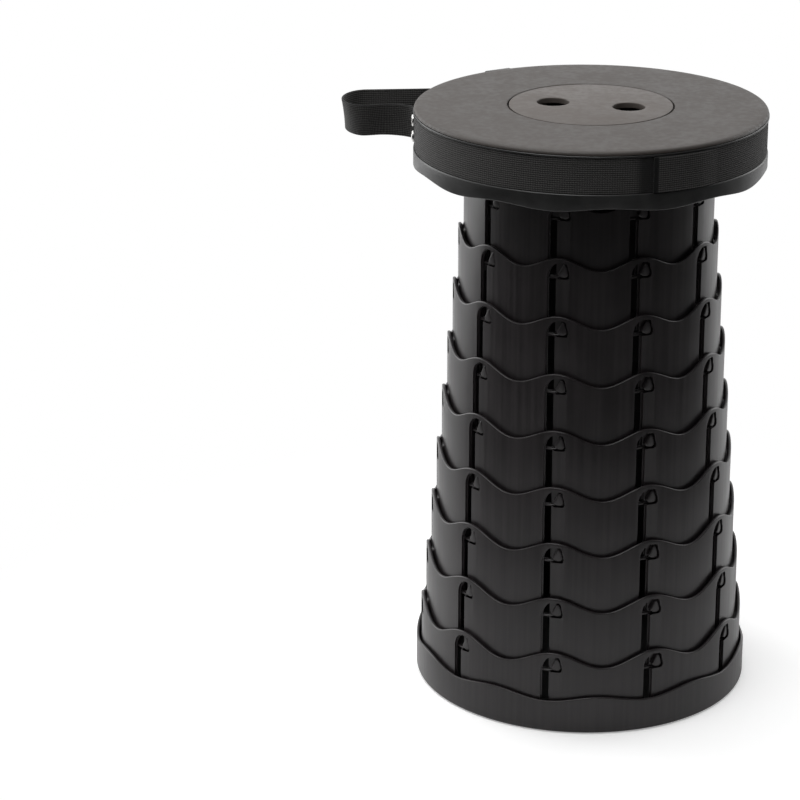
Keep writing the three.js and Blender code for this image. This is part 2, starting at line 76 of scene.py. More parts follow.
def pick(piece):
    pickNothing()
    piece.select_set(True)
    bpy.context.view_layer.objects.active = piece


def editAll(piece):
    pick(piece)
    bpy.ops.object.mode_set(mode="EDIT")
    bpy.ops.mesh.select_all(action="SELECT")


def leaveEdit():
    bpy.ops.object.mode_set(mode="OBJECT")


# A line drawn from one vertex by extruding it from point to point
def drawLine(name, points):
    pickNothing()
    bpy.ops.mesh.primitive_plane_add(size=weldReach)
    line = bpy.context.object
    line.name = name
    line.data.name = name
    bpy.ops.object.mode_set(mode="EDIT")
    bpy.ops.mesh.merge(type="CENTER")
    bpy.ops.transform.translate(value=points[0])
    for here, there in zip(points, points[1:]):
        step = Vector(there) - Vector(here)
        bpy.ops.mesh.extrude_region_move(TRANSFORM_OT_translate={"value": step})
    leaveEdit()
    return line


# Joins the two ends of a line with an edge
def closeLine(line):
    last = len(line.data.vertices) - 1
    for corner in line.data.vertices:
        corner.select = corner.index in (0, last)
    for edge in line.data.edges:
        edge.select = False
    pick(line)
    bpy.ops.object.mode_set(mode="EDIT")
    bpy.ops.mesh.edge_face_add()
    leaveEdit()


def weld(piece):
    editAll(piece)
    bpy.ops.mesh.remove_doubles(threshold=weldReach)
    bpy.ops.mesh.normals_make_consistent(inside=False)
    leaveEdit()


# A section of [radius, height] points, closed or from axis to axis, spun round the stool's axis
def spinRing(name, section, columns, sweep=turn, start=0.0, closed=True):
    points = [(axisX + radius * cos(start), radius * sin(start), height) for radius, height in section]
    ring = drawLine(name, points)
    if closed:
        closeLine(ring)
    editAll(ring)
    bpy.ops.mesh.spin(steps=columns, angle=sweep, center=axisPoint, axis=(0, 0, 1))
    leaveEdit()
    if sweep < turn:
        capEnds(ring)
    weld(ring)
    return ring


# A section of [radius, height] points, from axis to axis, spun round an upright line of its own
def spinPost(name, section, centre, sides):
    post = drawLine(name, [(centre[0] + radius, centre[1], height) for radius, height in section])
    editAll(post)
    bpy.ops.mesh.spin(steps=sides, angle=turn, center=(centre[0], centre[1], 0), axis=(0, 0, 1))
    leaveEdit()
    weld(post)
    return post


# Fills the two open ends of a part ring
def capEnds(piece):
    editAll(piece)
    bpy.ops.mesh.select_all(action="DESELECT")
    bpy.ops.mesh.select_mode(type="EDGE")
    bpy.ops.mesh.select_non_manifold()
    bpy.ops.mesh.edge_face_add()
    bpy.ops.mesh.select_mode(type="VERT")
    leaveEdit()


# Turns everything in a piece round the stool's axis, anticlockwise from above
def turnPiece(piece, angle):
    editAll(piece)
    bpy.ops.transform.rotate(value=-angle, orient_axis="Z", center_override=axisPoint)
    leaveEdit()


# Copies a piece's mesh round the stool's axis
def repeatRound(piece, count):
    editAll(piece)
    sweep = turn * (count - 1) / count
    bpy.ops.mesh.spin(steps=count - 1, dupli=True, angle=sweep, center=axisPoint, axis=(0, 0, 1))
    leaveEdit()


# A flat outline of [right, up] points facing the front, pushed from one distance to another
def pushOutline(name, outline, inner, outer):
    points = [(axisX + right, -inner, up) for right, up in outline]
    block = drawLine(name, points)
    editAll(block)
    bpy.ops.mesh.edge_face_add()
    push = {"value": (0, inner - outer, 0)}
    bpy.ops.mesh.extrude_region_move(TRANSFORM_OT_translate=push)
    leaveEdit()
    weld(block)
    return block


def applyModifier(piece, kind, **settings):
    modifier = piece.modifiers.new(kind.title(), kind)
    for name, value in settings.items():
        setattr(modifier, name, value)
    pick(piece)
    bpy.ops.object.modifier_apply(modifier=modifier.name)


# Cuts a tool from a piece, or joins it on, and clears the tool away
def combine(piece, tool, operation="DIFFERENCE"):
    applyModifier(piece, "BOOLEAN", operation=operation, object=tool, solver="MANIFOLD")
    bpy.data.meshes.remove(tool.data)


def smoothen(piece, degrees=32):
    pick(piece)
    bpy.ops.object.shade_smooth_by_angle(angle=radians(degrees))


def softenEdges(piece, width, degrees=40, segments=2):
    applyModifier(piece, "BEVEL", width=width, segments=segments, limit_method="ANGLE",
                  angle_limit=radians(degrees), use_clamp_overlap=True, harden_normals=False)


# Points of a round corner from one heading to another
def roundCorner(centre, radius, start, end, steps=4):
    points = []
    for step in range(steps + 1):
        angle = radians(start + (end - start) * step / steps)
        points.append((centre[0] + radius * cos(angle), centre[1] + radius * sin(angle)))
    return points


# Points of a curve from one place to another, bent towards a third
def bendTo(start, middle, end, steps=8):
    points = []
    for step in range(1, steps + 1):
        share = step / steps
        stay = 1 - share
        across = [stay * stay * a + 2 * stay * share * b + share * share * c
                  for a, b, c in zip(start, middle, end)]
        points.append(tuple(across))
    return points


# A shader socket that takes part in Python sums
class Wire:
    def __init__(self, maker, socket):
        self.maker = maker
        self.socket = socket

    def math(self, operation, first, second=0.0):
        return self.maker.node("ShaderNodeMath", {"operation": operation}, {0: first, 1: second})

    def __add__(self, other):
        return self.math("ADD", self, other)

    def __radd__(self, other):
        return self.math("ADD", other, self)

    def __sub__(self, other):
        return self.math("SUBTRACT", self, other)

    def __rsub__(self, other):
        return self.math("SUBTRACT", other, self)

    def __mul__(self, other):
        return self.math("MULTIPLY", self, other)

    def __rmul__(self, other):
        return self.math("MULTIPLY", other, self)

    def __truediv__(self, other):
        return self.math("DIVIDE", self, other)

    def most(self, other):
        return self.math("MAXIMUM", self, other)

    def sine(self):
        return self.math("SINE", self)

    def part(self):
        return self.math("FRACT", self)

    def size(self):
        return self.math("ABSOLUTE", self)


# Makes the nodes of one material or of the world
class NodeMaker:
    def __init__(self, tree):
        self.tree = tree

    def feed(self, socket, value):
        if isinstance(value, Wire):
            self.tree.links.new(value.socket, socket)
        else:
            socket.default_value = value

    def node(self, kind, settings, inputs, output=0):
        made = self.tree.nodes.new(kind)
        for name, value in settings.items():
            setattr(made, name, value)
        for place, value in inputs.items():
            self.feed(made.inputs[place], value)
        return Wire(self, made.outputs[output])

    # Object coordinates about the stool's axis, stretched by a scale
    def place(self, stretch=(1, 1, 1)):
        coordinates = self.node("ShaderNodeTexCoord", {}, {}, "Object")
        shift = (-axisX * stretch[0], 0, 0)
        inputs = {"Vector": coordinates, "Location": shift, "Scale": stretch}
        return self.node("ShaderNodeMapping", {"vector_type": "POINT"}, inputs)

    def noise(self, vector, scale, detail=3.0, roughness=0.55):
        inputs = {"Vector": vector, "Scale": scale, "Detail": detail, "Roughness": roughness}
        return self.node("ShaderNodeTexNoise", {}, inputs)

    # The finest, plainest noise of a finish
    def grain(self, vector, scale):
        return self.noise(vector, scale, detail=2.0)

    def mixColour(self, share, first, second):
        return self.node("ShaderNodeMix", {"data_type": "RGBA"}, {0: share, 6: first, 7: second}, 2)

    # Where a value lies between a low and a high level, as 0 to 1
    def between(self, value, low=0.35, high=0.65):
        inputs = {"Value": value, "From Min": low, "From Max": high}
        return self.node("ShaderNodeMapRange", {"clamp": True, "interpolation_type": "SMOOTHSTEP"}, inputs)

    def bump(self, height, strength, distance):
        return self.node("ShaderNodeBump", {}, {"Height": height, "Strength": strength, "Distance": distance})


def grey(level, warmth=0.0, rose=0.0):
    return (level * (1 + warmth), level * (1 - rose), level * (1 - warmth), 1)


# A material with its maker and its shader
def newFinish(name, **constants):
    material = bpy.data.materials.new(name)
    material.use_nodes = True
    maker = NodeMaker(material.node_tree)
    shader = material.node_tree.nodes["Principled BSDF"]
    for socket, value in constants.items():
        shader.inputs[socket.replace("_", " ")].default_value = value
    return material, maker, shader


# Feeds a shader from one pattern: two colours, the finish's two roughnesses and a bump
def dress(maker, shader, s, pattern, darker, lighter, height):
    maker.feed(shader.inputs["Base Color"], maker.mixColour(pattern, darker, lighter))
    maker.feed(shader.inputs["Roughness"], s["smooth"] + (s["rough"] - s["smooth"]) * pattern)
    maker.feed(shader.inputs["Normal"], maker.bump(height, s["strength"], s["depth"]))


# In every finish the scales of patterns are per metre, and the depths of bumps in metres
tubeFinish = dict(dark=0.014, light=0.024, warmth=0.05, rose=0.11, smooth=0.29, rough=0.37, clouds=22,
                  streaks=300, streakStretch=0.02, streakShare=0.6, grain=2400, strength=0.10, depth=0.00004)


def makeTubePlastic():
    s = tubeFinish
    material, maker, shader = newFinish("tubePlastic")
    along = maker.place((1, 1, s["streakStretch"]))
    streaks = maker.grain(along, s["streaks"])
    clouds = maker.noise(maker.place(), s["clouds"])
    pattern = maker.between(s["streakShare"] * streaks + (1 - s["streakShare"]) * clouds)
    darker = grey(s["dark"], s["warmth"], s["rose"])
    lighter = grey(s["light"], s["warmth"], s["rose"])
    grain = maker.grain(maker.place(), s["grain"])
    dress(maker, shader, s, pattern, darker, lighter, 0.5 * grain + 0.5 * streaks)
    return material


seatFinish = dict(dark=0.041, light=0.051, warmth=0.14, rose=0.03, smooth=0.46, rough=0.62, clouds=44,
                  mottle=210, cloudShare=0.4, grain=1500, cells=900, cellShare=0.6, strength=0.30,
                  depth=0.00006, capLift=0.030)  # the cap is lighter by capLift


def makeSeatPlastic(name, lift=0.0):
    s = seatFinish
    material, maker, shader = newFinish(name)
    place = maker.place()
    clouds = maker.noise(place, s["clouds"], detail=4.0)
    mottle = maker.noise(place, s["mottle"])
    pattern = maker.between(s["cloudShare"] * clouds + (1 - s["cloudShare"]) * mottle)
    darker = grey(s["dark"] + lift, s["warmth"], s["rose"])
    lighter = grey(s["light"] + lift, s["warmth"], s["rose"])
    inputs = {"Vector": place, "Scale": s["cells"]}
    cells = maker.node("ShaderNodeTexVoronoi", {"feature": "F1"}, inputs, "Distance")
    height = s["cellShare"] * cells + (1 - s["cellShare"]) * maker.grain(place, s["grain"])
    dress(maker, shader, s, pattern, darker, lighter, height)
    return material


# A cloudy plastic or rubber with a fine grain
def makeClouded(name, s):
    material, maker, shader = newFinish(name)
    place = maker.place()
    pattern = maker.between(maker.noise(place, s["clouds"], detail=s["cloudDetail"]), s["low"], s["high"])
    grain = maker.grain(place, s["grain"])
    dress(maker, shader, s, pattern, grey(s["dark"]), grey(s["light"], s["warmth"]), grain)
    return material


rimFinish = dict(dark=0.018, light=0.031, warmth=0.0, smooth=0.30, rough=0.38, clouds=40, cloudDetail=4.0,
                 low=0.35, high=0.65, grain=1800, strength=0.15, depth=0.00004)
rubberFinish = dict(dark=0.010, light=0.022, warmth=0.05, smooth=0.80, rough=0.95, clouds=60, cloudDetail=5.0,
                    low=0.4, high=0.7, grain=1400, strength=0.3, depth=0.00008)
sliderFinish = dict(dark=0.009, light=0.014, warmth=0.0, smooth=0.22, rough=0.34, clouds=90, cloudDetail=3.0,
                    low=0.35, high=0.65, grain=900, strength=0.06, depth=0.00004)
steelFinish = dict(colour=(0.52, 0.51, 0.49), worn=0.8, smooth=0.25, rough=0.45, wear=800,
                   low=0.3, high=0.7, grain=3000, strength=0.05, depth=0.00002)
nickelFinish = dict(steelFinish, colour=(0.86, 0.85, 0.83), smooth=0.22, rough=0.38, wear=500)


def makeMetal(name, s):
    material, maker, shader = newFinish(name, Metallic=1.0)
    place = maker.place()
    pattern = maker.between(maker.noise(place, s["wear"]), s["low"], s["high"])
    darker = tuple(s["worn"] * level for level in s["colour"]) + (1,)
    dress(maker, shader, s, pattern, darker, s["colour"] + (1,), maker.grain(place, s["grain"]))
    return material


# dark and light are the weave's painted shade in its hollows and painted light on its raised cords
weaveFinish = dict(
    thread=0.00147, pick=0.0017, fibres=1600, fibreBase=0.7, fibreSpread=0.6, fibreHeight=0.2,
    dark=0.009, light=0.078, warmth=0.03, litFrom=0.1, litTo=0.9, rough=0.88, fibreRough=0.1,
    sheen=0.10, shine=0.30, strength=0.8, depth=0.00022,
    seam=0.0034, seamSoft=0.9, seamDarkShare=0.25, seamLight=0.004, stitch=0.0009, stitchSlant=0.7,
    shadeReach=0.014, shadeFull=0.007, shade=0.9,
)


# Ribbed webbing: cords along the strap, crossed by picks, painted lighter on the cords and darker between
# them as painted light and shade, with a bar of dark stitches at a sewn end that is painted darker still as
# that end's shade, and painted shade on the band where it runs up to that end
def makeWebbing(lapPlace):
    s = weaveFinish
    material, maker, shader = newFinish("webbing", Sheen_Weight=s["sheen"], Specular_IOR_Level=s["shine"])
    coordinates = maker.node("ShaderNodeUVMap", {"uv_map": "strapMap"}, {})
    along = maker.node("ShaderNodeSeparateXYZ", {}, {0: coordinates}, 0)
    across = maker.node("ShaderNodeSeparateXYZ", {}, {0: coordinates}, 1)
    cord = ((across / s["thread"]).part() * pi).sine()
    pick = ((along / s["pick"]).part() * pi).sine()
    fibres = maker.grain(maker.place(), s["fibres"])
    weave = cord * (0.5 + 0.5 * pick)
    tack = (((along + s["stitchSlant"] * across) / s["stitch"]).part() * pi).sine()
    sewn = 1 - maker.between(along.size(), s["seam"] * s["seamSoft"], s["seam"])
    height = weave + sewn * (tack - weave)
    # Painted shade: the band darkens as it runs up to the sewn end, standing in for the shadow of that
    # thicker end
    towards = maker.between(along, lapPlace - s["shadeReach"], lapPlace - s["shadeFull"])
    paintedLapShade = towards * (1 - maker.between(along, lapPlace, lapPlace + s["seam"]))
    fuzzy = height * (s["fibreBase"] + s["fibreSpread"] * fibres)
    # The weave's colour follows its relief: painted light on the raised cords and painted shade in the
    # hollows between them
    lit = maker.between(fuzzy, s["litFrom"], s["litTo"]) * (1 - s["shade"] * paintedLapShade)
    thread = maker.mixColour(lit, grey(s["dark"]), grey(s["light"], s["warmth"]))
    # The bar of stitches is dark thread, painted darker still as painted shade of the sewn end
    stitchesAndShade = maker.mixColour(lit, grey(s["dark"] * s["seamDarkShare"]), grey(s["seamLight"]))
    maker.feed(shader.inputs["Base Color"], maker.mixColour(sewn, thread, stitchesAndShade))
    maker.feed(shader.inputs["Roughness"], s["rough"] + s["fibreRough"] * fibres)
    height = height + s["fibreHeight"] * fibres
    maker.feed(shader.inputs["Normal"], maker.bump(height, s["strength"], s["depth"]))
    return material


finishes = {
    "tube_plastic": makeTubePlastic(),
    "seat_plastic": makeSeatPlastic("seatPlastic"),
    "cap_plastic": makeSeatPlastic("capPlastic", seatFinish["capLift"]),
    "rim_plastic": makeClouded("rimPlastic", rimFinish),
    "pad_rubber": makeClouded("padRubber", rubberFinish),
    "screw_steel": makeMetal("screwSteel", steelFinish),
    "rivet_nickel": makeMetal("rivetNickel", nickelFinish),
    "slider_plastic": makeClouded("sliderPlastic", sliderFinish),
}
print("materials made")


# Gives a finished piece its material, slot and body, and puts it in the place of its node
def settle(piece, slot, body, *nodes):
    piece.data.materials.clear()
    piece.data.materials.append(finishes[slot])
    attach(piece, body)
    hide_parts(*nodes)
    print("finished", piece.name, len(piece.data.polygons), "faces")


tube = dict(
    count=9, wall=0.0024, rimHeight=0.0016, rimProud=0.0011, edgeRound=0.0009, footRound=0.0003,
    waves=10, waveDepthShare=0.09, columns=320,
    firstCrest=-99.2, twist=-0.4,       # degrees
    slotWidth=0.0049, archMargin=0.0032, archRise=0.0095, archReach=0.0078, archBow=0.15,
    lugOffset=0.0084, lugWidth=0.0058, lugLeft=0.0042, lugHeight=0.0092, lugHead=0.0014, lugSink=0.0004,
    lugRightShare=0.92, lugLeftShare=0.75, lugRiseShare=0.8, lugRoot=0.0006, lugBehind=0.0008,
    lugRightEnd=15, lugHeadStart=20, lugHeadEnd=160, lugLeftStart=190, lugLeftEnd=258,  # arcs, in degrees
    lugDome=0.0005, lugDomeShare=0.7,
    pocketGap=0.0011, pocketTip=0.0005, pocketCornerShare=2.2, neck=0.0012,
    bellyShare=0.42, bellyBelow=0.0012, bellyBend=0.0014, bellyAbove=0.0034,
    runwaySkin=0.0005, ledgeWidth=0.0011, ledgeDepth=0.0017, ledgeFootShare=1.4,
)
tube["height"] = topOf("tube_1") - footOf("tube_1")
tube["travel"] = footOf("tube_2") - footOf("tube_1")
tube["outerRadius"] = reachOf("tube_1") - tube["rimProud"]
tube["step"] = reachOf("tube_2") - reachOf("tube_3")
tube["pocketRight"] = tube["lugOffset"] + tube["lugWidth"] / 2 + tube["pocketGap"]
tube["centre"] = (tube["pocketRight"] - tube["slotWidth"] / 2) / 2


# Only the outermost tube has no lugs, so the others are measured inwards from its foot
def tubeRadius(number):
    return tube["outerRadius"] - (number - 1) * tube["step"]


def crestAngle(number):
    return radians(tube["firstCrest"] + (number - 1) * tube["twist"])


def waveShare(angle):
    return (1 + cos(tube["waves"] * angle)) / 2


# Lowers the points above a height into a wave round the axis
def waveEdge(piece, above, depth, crest):
    for point in piece.data.vertices:
        if point.co.z > above:
            angle = atan2(point.co.y, point.co.x - axisX)
            point.co.z -= depth * (1 - waveShare(angle - crest))


# Slot, arch and pocket seen from outside, about the crest and from the tube's foot
def windowOutline(s):
    left = -s["slotWidth"] / 2 - s["centre"]
    slotRight = left + s["slotWidth"]
    right = s["pocketRight"] - s["centre"]
    arch = s["height"] - s["archMargin"]
    floor = s["travel"] + s["rimHeight"] - s["pocketGap"]
    tip = s["pocketTip"]
    neck = s["neck"]
    neckRight = right - neck
    belly = floor + s["lugHeight"] * s["bellyShare"]
    points = [(left, s["rimHeight"]), (slotRight, s["rimHeight"]), (slotRight, floor - tip)]
    points += bendTo(points[-1], (slotRight, floor), (slotRight + tip, floor), 3)
    points.append((right - neck * s["pocketCornerShare"], floor))
    points += bendTo(points[-1], (right, floor), (right, belly - s["bellyBelow"]), 6)
    points += bendTo(points[-1], (right, belly + s["bellyBend"]), (neckRight, belly + s["bellyAbove"]), 5)
    points += bendTo(points[-1], (neckRight, arch), (neckRight - neck * 2, arch), 6)
    return points + archOver((left + s["archReach"], arch), (left, arch - s["archRise"]), s["archBow"])


# Slanting arch from its roof to where it springs from the slot
def archOver(roof, spring, bow):
    width = roof[0] - spring[0]
    rise = roof[1] - spring[1]
    return [roof] + bendTo(roof, (spring[0] + bow * width, roof[1] - bow * rise), spring, 10)


# Sunk ledge on both sides of the slot, which follows it over the arch
def ledgeOutline(s):
    width = s["ledgeWidth"]
    left = -s["slotWidth"] / 2 - s["centre"]
    right = left + s["slotWidth"] + width
    low = s["rimHeight"] * s["ledgeFootShare"]
    arch = s["height"] - s["archMargin"]
    inPocket = s["travel"] + s["rimHeight"] - s["pocketGap"] / 2
    end = left + s["archReach"]
    points = [(left - width, low), (right, low), (right, inPocket), (end, inPocket)]
    return points + archOver((end, arch + width / 2), (left - width, arch - s["archRise"]), s["archBow"])


# Leaf-shaped lug about its own centre line, from its foot: a belly wider to the left, a rounded head
def lugOutline(s):
    half = s["lugWidth"] / 2
    wide = s["lugLeft"]
    head = s["lugHead"]
    belly = half - s["lugSink"]
    neck = s["lugHeight"] - head
    points = roundCorner((0, belly), half, -90, s["lugRightEnd"], 8)
    points += bendTo(points[-1], (half * s["lugRightShare"], belly + half), (head, neck), 4)
    points += roundCorner((0, neck), head, s["lugHeadStart"], s["lugHeadEnd"], 8)
    points.append((-head, neck))
    leftBend = (-wide * s["lugLeftShare"], belly + half * s["lugRiseShare"])
    points += bendTo(points[-1], leftBend, (-wide, belly), 6)
    leftArc = roundCorner((0, belly), half, s["lugLeftStart"], s["lugLeftEnd"], 6)
    return points + [(across * wide / half, up) for across, up in leftArc]


def raised(outline, height):
    return [(right, up + height) for right, up in outline]


# The lugs at the foot of a tube, domed a little, all round
def makeLugs(number, radius, foot):
    s = tube
    outer = tubeRadius(number - 1)
    face = outer - s["lugBehind"]
    dome = s["lugDome"]
    outline = raised(lugOutline(s), foot + s["rimHeight"])
    lug = pushOutline("lugs", outline, radius - s["lugRoot"], face - dome)
    for point in lug.data.vertices:
        point.select = False
    for side in lug.data.polygons:
        side.select = side.normal.y < -facing
    for edge in lug.data.edges:
        edge.select = False
    pick(lug)
    bpy.ops.object.mode_set(mode="EDIT")
    bpy.ops.mesh.select_mode(type="FACE")
    slope = dome * s["lugDomeShare"]
    bpy.ops.mesh.inset(thickness=slope, depth=slope)
    bpy.ops.mesh.inset(thickness=dome, depth=dome - slope)
    bpy.ops.mesh.select_mode(type="VERT")
    leaveEdit()
    across = (s["lugOffset"] - s["centre"]) / outer
    turnPiece(lug, crestAngle(number - 1) + across + turn / 4)
    repeatRound(lug, s["waves"])
    return lug


# Tracks, ledges and inside runways of one tube
def cutTracks(piece, number, radius, foot):
    s = tube
    crest = crestAngle(number) + turn / 4
    inside = radius - s["wall"] - cutReach
    window = pushOutline("window", raised(windowOutline(s), foot), inside, radius + cutReach)
    turnPiece(window, crest)
    repeatRound(window, s["waves"])
    ledge = pushOutline("ledge", raised(ledgeOutline(s), foot), radius - s["ledgeDepth"], radius + cutReach)
    turnPiece(ledge, crest)
    repeatRound(ledge, s["waves"])
    left = -s["lugLeft"] - fitGap
    right = s["lugWidth"] / 2 + fitGap
    low = foot + s["rimHeight"] - s["lugSink"] - fitGap
    high = foot + s["rimHeight"] + s["travel"]
    box = [(left, low), (right, low), (right, high), (left, high)]
    runway = pushOutline("runway", box, inside, radius - s["runwaySkin"])
    across = (s["lugOffset"] - s["centre"]) / radius
    turnPiece(runway, crest + across)
    repeatRound(runway, s["waves"])
    for tool in (window, ledge, runway):
        combine(piece, tool)


# The foot of a tube in section, from its bore out over the proud rim to its wall
def footSection(radius, inner, foot):
    s = tube
    soft = s["footRound"]
    rim = radius + s["rimProud"]
    over = foot + s["rimHeight"]
    section = [(inner, foot + soft), (inner + soft, foot), (rim - soft, foot), (rim, foot + soft)]
    return section + [(rim, over - soft), (rim - soft, over), (radius, over)]


def tubeSection(radius, inner, foot, top):
    edge = tube["edgeRound"]
    section = footSection(radius, inner, foot)
    section += roundCorner((radius - edge, top - edge), edge, 0, 90)
    return section + roundCorner((inner + edge, top - edge), edge, 90, 180)


# One wavy-edged tube with its lugs, slots and pockets
def makeTube(number):
    s = tube
    name = f"tube_{number}"
    foot = footOf(name)
    radius = tubeRadius(number)
    inner = radius - s["wall"]
    top = foot + s["height"]
    piece = spinRing(f"tube{number}", tubeSection(radius, inner, foot, top), s["columns"])
    waveEdge(piece, top - s["edgeRound"] * edgeReach, radius * s["waveDepthShare"], crestAngle(number))
    if number > 1:
        combine(piece, makeLugs(number, radius, foot), "UNION")
    cutTracks(piece, number, radius, foot)
    smoothen(piece)
    settle(piece, "tube_plastic", "base" if number == 1 else f"stage_{number}", name)


for number in range(1, tube["count"] + 1):
    makeTube(number)

seatTube = dict(flangeInner=0.044, flangeDrop=0.003, flangeWall=0.003)


# The innermost tube, with the flange that carries the seat
def makeSeatTube():
    s = seatTube
    foot = footOf("seat_tube")
    head = topOf("seat_tube")
    number = tube["count"] + 1
    radius = tubeRadius(number)
    inner = radius - tube["wall"]
    soft = tube["footRound"]
    flangeInner = s["flangeInner"]
    flangeTop = head - s["flangeDrop"]
    flangeUnder = flangeTop - s["flangeWall"]
    section = footSection(radius, inner, foot)
    section += [(radius, head - soft), (radius - soft, head), (inner, head), (inner, flangeTop)]
    section += [(flangeInner + soft, flangeTop), (flangeInner, flangeTop - soft)]
    section += [(flangeInner, flangeUnder + soft), (flangeInner + soft, flangeUnder), (inner, flangeUnder)]
    piece = spinRing("seatTube", section, tube["columns"])
    combine(piece, makeLugs(number, radius, foot), "UNION")
    smoothen(piece)
    settle(piece, "tube_plastic", "seat", "seat_tube")


makeSeatTube()

footRing = dict(wall=0.002, waveDepth=0.0044, flange=0.0126, corner=0.0018, edge=0.0007,
                padMargin=0.0025, padWidth=0.0084, padRecess=0.0012, columns=320)
dipAngle = crestAngle(1) - tube["centre"] / tubeRadius(1)


# Wavy-edged ring with a flange underneath, recessed for the pads
def makeFootRing():
    s = footRing
    low = footOf("foot_ring")
    radius = reachOf("foot_ring")
    inner = radius - s["wall"]
    flangeInner = inner - s["flange"]
    flangeTop = footOf("tube_1") - fitGap
    padInner = flangeInner + s["padMargin"] - fitGap
    padOuter = padInner + s["padWidth"] + 2 * fitGap
    crest = topOf("foot_ring")
    soft = tube["footRound"]
    section = [(flangeInner + soft, low), (padInner, low), (padInner, low + s["padRecess"])]
    section += [(padOuter, low + s["padRecess"]), (padOuter, low)]
    section += roundCorner((radius - s["corner"], low + s["corner"]), s["corner"], -90, 0)
    section += roundCorner((radius - s["edge"], crest - s["edge"]), s["edge"], 0, 90)
    section += roundCorner((inner + s["edge"], crest - s["edge"]), s["edge"], 90, 180)
    section += [(inner, flangeTop), (flangeInner + soft, flangeTop), (flangeInner, flangeTop - soft)]
    section.append((flangeInner, low + soft))
    piece = spinRing("footRing", section, s["columns"])
    waveEdge(piece, crest - s["edge"] * edgeReach, s["waveDepth"], dipAngle + turn / tube["waves"] / 2)
    smoothen(piece)
    settle(piece, "tube_plastic", "base", "foot_ring")


makeFootRing()

gripPad = dict(count=5, arc=36.0, ridge=0.0004, ribs=3, grooveShare=1.5, columns=36)  # arc in degrees


# Curved pads, ribbed underneath
def makePads():
    s = gripPad
    ridge = s["ridge"]
    groove = ridge * s["grooveShare"]
    for number in range(1, s["count"] + 1):
        name = f"grip_pad_{number}"
        low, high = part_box(name)
        outer = reachOf(name)
        inner = outer - footRing["padWidth"]
        section = [(inner, low.z + ridge), (inner + ridge, low.z)]
        for rib in range(1, s["ribs"]):
            middle = inner + rib * (outer - inner) / s["ribs"]
            section += [(middle - groove, low.z), (middle, low.z + groove), (middle + groove, low.z)]
        section += [(outer - ridge, low.z), (outer, low.z + ridge), (outer, high.z), (inner, high.z)]
        start = dipAngle + (number - 1) / s["count"] * turn
        piece = spinRing(f"gripPad{number}", section, s["columns"], radians(s["arc"]), start)
        smoothen(piece)
        settle(piece, "pad_rubber", "base", name)


makePads()

centreCap = dict(radius=0.0597, slack=0.0009, thickness=0.0038, edge=0.0006, clipWall=0.0024, clipDepth=0.004,
                 holeRadius=0.01175, holeSpacing=0.0554, holeEdge=0.0008, holeSides=64, columns=240,
                 holeAngle=-11.5)  # degrees
seatTop = dict(crown=0.001, crownShare=0.75, plate=0.0039, lipRound=0.0026, lipUnder=0.0010, lipEnd=80.0,
               shoulder=0.0026, ledge=0.0028, ledgeInner=0.044, columns=240)


# Crowned ring with a rounded lip and a ledge under the cap
def makeSeatTop():
    s = seatTop
    top = topOf("seat_top")
    edge = centreCap["edge"]
    recess = centreCap["radius"] + fitGap
    shoulder = recess + s["shoulder"]
    ledgeTop = top - centreCap["thickness"] - fitGap
    ledgeUnder = ledgeTop - s["ledge"]
    plate = top - s["plate"]
    lip = reachOf("seat_top")
    lipTop = top - s["crown"]
    lipRound = s["lipRound"]
    crown = ((lip + recess) / 2, lipTop + s["crown"] * s["crownShare"])
    section = [(s["ledgeInner"], ledgeUnder), (shoulder, ledgeUnder), (shoulder, plate)]
    section.append((lip - s["lipUnder"], plate))
    section += bendTo(section[-1], (lip - s["lipUnder"] / 4, plate), (lip, lipTop - lipRound), 4)
    section += roundCorner((lip - lipRound, lipTop - lipRound), lipRound, 0, s["lipEnd"], 6)[1:]
    section += bendTo(section[-1], crown, (recess + edge, top), 12)
    section += [(recess, top - edge), (recess, ledgeTop), (s["ledgeInner"], ledgeTop)]
    piece = spinRing("seatTop", section, s["columns"])
    smoothen(piece, degrees=28)
    settle(piece, "seat_plastic", "seat", "seat_top")


# The flush cap with a clip ring underneath and two finger holes with rounded rims
def makeCap():
    s = centreCap
    top = topOf("centre_cap")
    under = top - s["thickness"]
    clipFoot = under - s["clipDepth"]
    radius = s["radius"] - s["slack"]
    ringOuter = seatTop["ledgeInner"] - fitGap
    ringInner = ringOuter - s["clipWall"]
    edge = s["edge"]
    section = [(0, under), (ringInner, under), (ringInner, clipFoot), (ringOuter, clipFoot)]
    section += [(ringOuter, under), (radius, under)]
    section += roundCorner((radius - edge, top - edge), edge, 0, 90, 3)
    section.append((0, top))
    piece = spinRing("centreCap", section, s["columns"], closed=False)
    for side in (-1, 1):
        across = side * s["holeSpacing"] / 2
        angle = radians(s["holeAngle"])
        centre = Vector((axisX + across * cos(angle), across * sin(angle), 0))
        hole = s["holeRadius"]
        section = [(0, under - cutReach), (hole, under - cutReach), (hole, top - s["holeEdge"])]
        section += bendTo(section[-1], (hole, top), (hole + s["holeEdge"], top), 4)
        section += [(hole + s["holeEdge"], top + cutReach), (0, top + cutReach)]
        combine(piece, spinPost("fingerHole", section, centre, s["holeSides"]))
    smoothen(piece, degrees=28)
    settle(piece, "cap_plastic", "seat", "centre_cap")


makeSeatTop()
makeCap()

seatRim = dict(strapThickness=0.0018, gap=0.0003, wall=0.002, skirtWall=0.0022, band=0.0015, strapWidth=0.025,
               slack=0.0002, bandSoft=0.0003, sill=0.0011, edge=0.0008, columns=320,
               stepHeight=0.0286,  # of the step inside the skirt over the ground, folded
               waveDepth=0.0026,
               hem=0.001)          # how far the skirt's low points hang below the solid's


